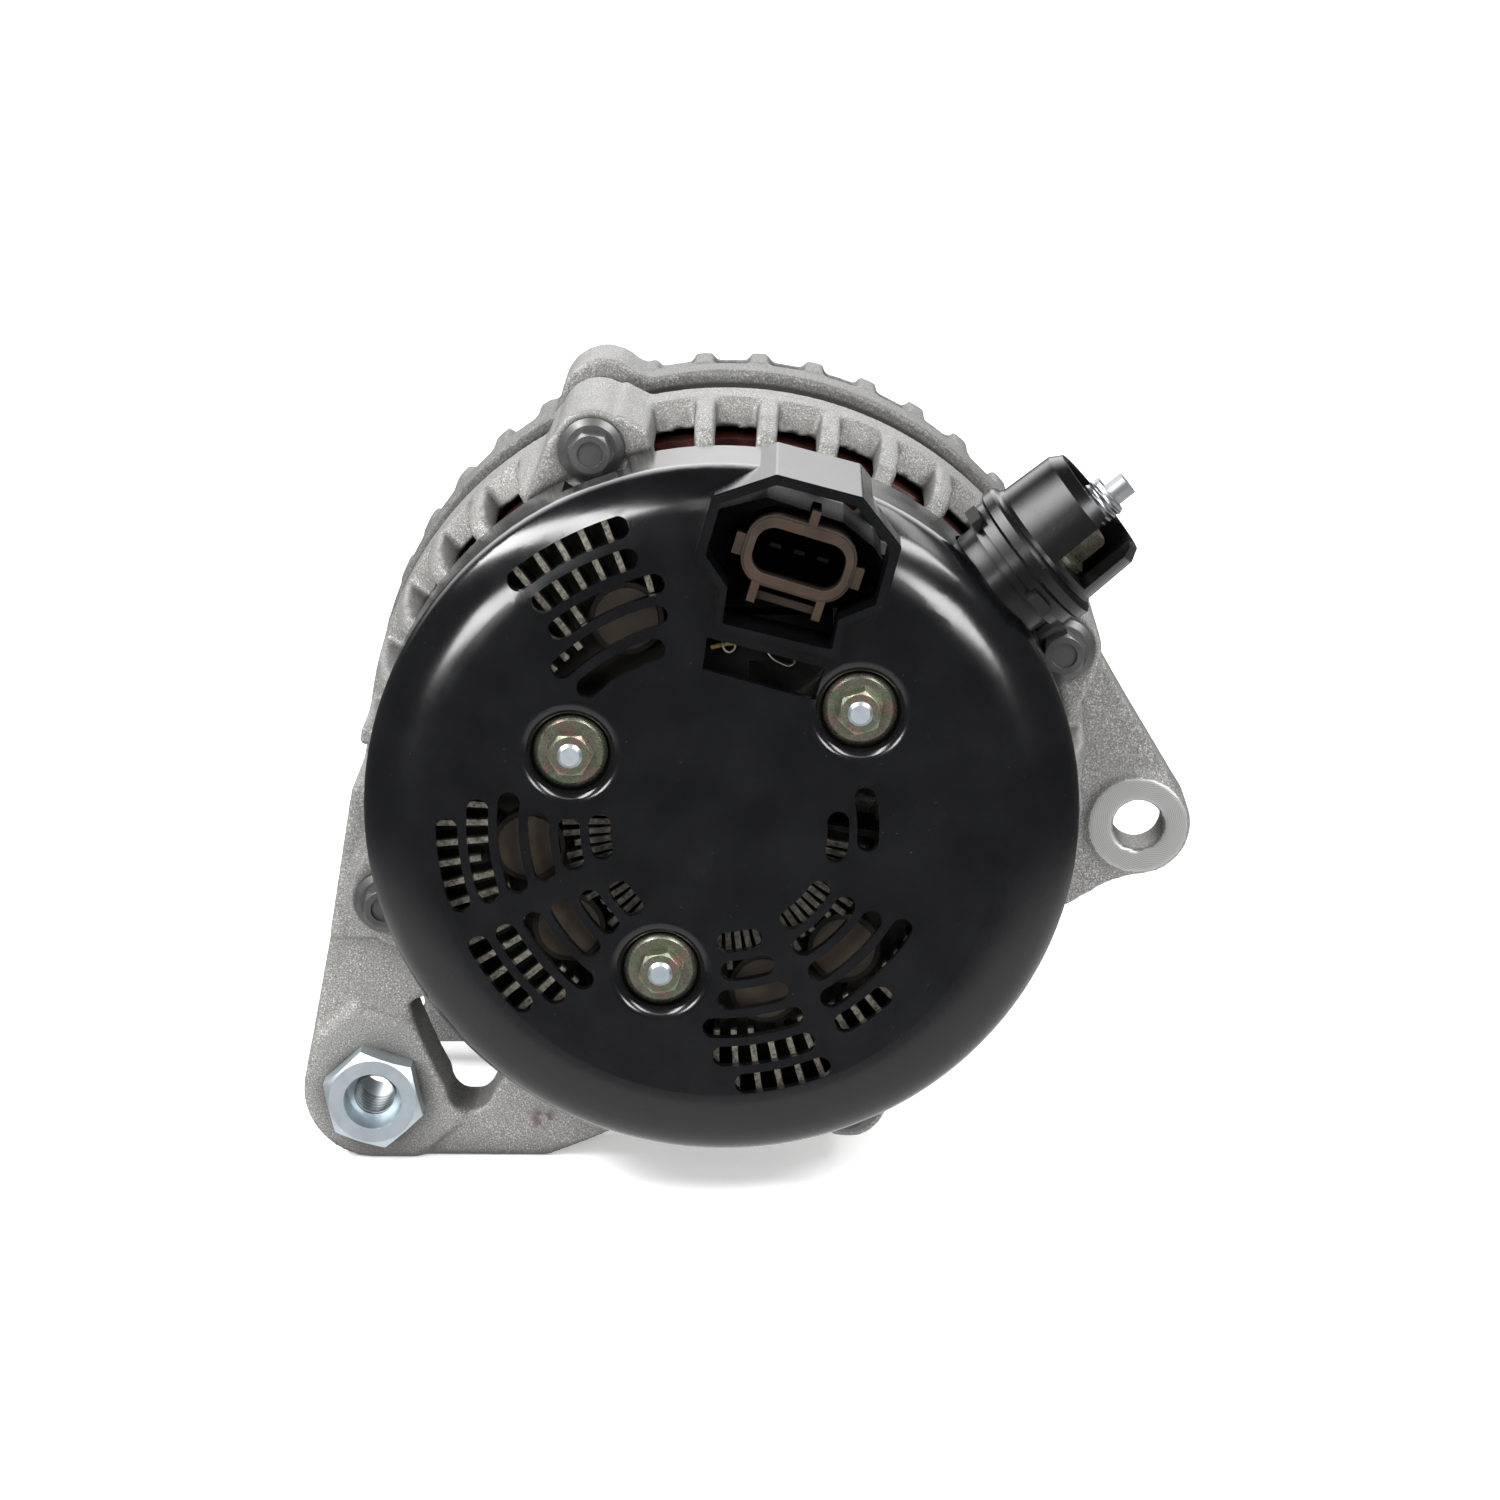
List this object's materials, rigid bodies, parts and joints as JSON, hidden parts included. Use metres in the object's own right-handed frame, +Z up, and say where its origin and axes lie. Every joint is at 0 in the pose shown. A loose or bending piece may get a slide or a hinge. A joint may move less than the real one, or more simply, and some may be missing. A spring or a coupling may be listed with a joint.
{
  "type": "car alternator",
  "caption": "Car alternator with a ribbed belt pulley, vented rear cover, plug socket, output stud, threaded pivot bushing and adjusting ear.",
  "frame": {"origin": "on the shaft axis, in the middle of the belt on the pulley", "axes": "+Y along the shaft from the rear cover towards the pulley, +Z up as it stands, +X to the right seen from the rear"},
  "size_m": [0.1905, 0.151, 0.1635],
  "materials": {
    "cover_plastic": "satin gloss",
    "dark_plastic": "matte",
    "brown_plastic": "matte",
    "chromate_zinc": "yellow chromate over zinc",
    "zinc_steel": "bright zinc",
    "cast_aluminium": "as cast, sand grain",
    "machined_steel": "turned",
    "bearing_steel": "ground",
    "cage_polymer": "moulded",
    "seal_rubber": "moulded",
    "lamination_steel": "varnished laminations",
    "copper_enamel": "enamelled copper",
    "sink_aluminium": "extruded, dull",
    "diode_metal": "nickel, dull",
    "tinned_brass": "tinned",
    "carbon": "sintered carbon and copper",
    "spring_steel": "drawn",
    "slip_copper": "turned copper",
    "forged_steel": "forged, turned outside",
    "fan_steel": "pressed sheet",
    "pulley_steel": "black oxide"
  },
  "bodies": {
    "housing": {"rear_cover": "cover_plastic", "cover_nuts": "chromate_zinc", "cover_studs": "zinc_steel", "stud_insulators": "dark_plastic", "rear_bracket": "cast_aluminium", "front_bracket": "cast_aluminium", "pivot_bushing": "zinc_steel", "through_bolts": "zinc_steel", "bearing_retainer": "machined_steel", "retainer_screws": "zinc_steel", "front_bearing_outer_race": "bearing_steel", "front_bearing_shields": "seal_rubber", "rear_bearing_outer_race": "bearing_steel", "rear_bearing_shields": "seal_rubber", "rear_bearing_sleeve": "dark_plastic", "stator_core": "lamination_steel", "stator_winding": "copper_enamel", "positive_heat_sink": "sink_aluminium", "negative_heat_sink": "sink_aluminium", "positive_diodes": "diode_metal", "negative_diodes": "diode_metal", "diode_terminal_block": "dark_plastic", "phase_leads": "copper_enamel", "terminal_stud": "zinc_steel", "terminal_nut": "chromate_zinc", "terminal_insulator": "cover_plastic", "regulator_connector": "brown_plastic", "connector_pins": "tinned_brass", "regulator": "dark_plastic", "regulator_heat_sink": "sink_aluminium", "regulator_screws": "zinc_steel", "brush_spring_rear": "spring_steel", "brush_spring_front": "spring_steel", "brush_holder": "dark_plastic"},
    "rotor": {"shaft": "machined_steel", "slip_ring_insulator": "dark_plastic", "slip_ring_rear": "slip_copper", "slip_ring_front": "slip_copper", "rear_pole": "forged_steel", "front_pole": "forged_steel", "coil_bobbin": "dark_plastic", "field_coil": "copper_enamel", "rear_fan": "fan_steel", "front_fan": "fan_steel", "pulley": "pulley_steel", "pulley_spacer": "machined_steel", "pulley_nut": "zinc_steel", "front_bearing_inner_race": "bearing_steel", "rear_bearing_inner_race": "bearing_steel"},
    "front_balls": {"front_bearing_balls": "bearing_steel", "front_bearing_cage": "cage_polymer"},
    "rear_balls": {"rear_bearing_balls": "bearing_steel", "rear_bearing_cage": "cage_polymer"},
    "brush_a": {"brush_rear": "carbon"},
    "brush_b": {"brush_front": "carbon"}
  },
  "joints": [
    {"name": "rotor_spin", "type": "hinge", "parent": "housing", "child": "rotor", "pos_m": [0, 0, 0], "axis": [0, 1, 0], "continuous": true},
    {"name": "front_balls_spin", "type": "hinge", "parent": "housing", "child": "front_balls", "pos_m": [0, 0, 0], "axis": [0, 1, 0], "continuous": true},
    {"name": "rear_balls_spin", "type": "hinge", "parent": "housing", "child": "rear_balls", "pos_m": [0, 0, 0], "axis": [0, 1, 0], "continuous": true},
    {"name": "rear_brush_slide", "type": "slide", "parent": "housing", "child": "brush_a", "axis": [0, 0, 1], "range_m": [0, 0.005], "stiffness_N_per_m": 300, "springref_m": -0.012, "deforming": ["brush_spring_rear"]},
    {"name": "front_brush_slide", "type": "slide", "parent": "housing", "child": "brush_b", "axis": [0, 0, 1], "range_m": [0, 0.005], "stiffness_N_per_m": 300, "springref_m": -0.012, "deforming": ["brush_spring_front"]}
  ],
  "couplings": [
    {"joint": "front_balls_spin", "follows": "rotor_spin", "ratio": 0.36875},
    {"joint": "rear_balls_spin", "follows": "rotor_spin", "ratio": 0.37097}
  ]
}
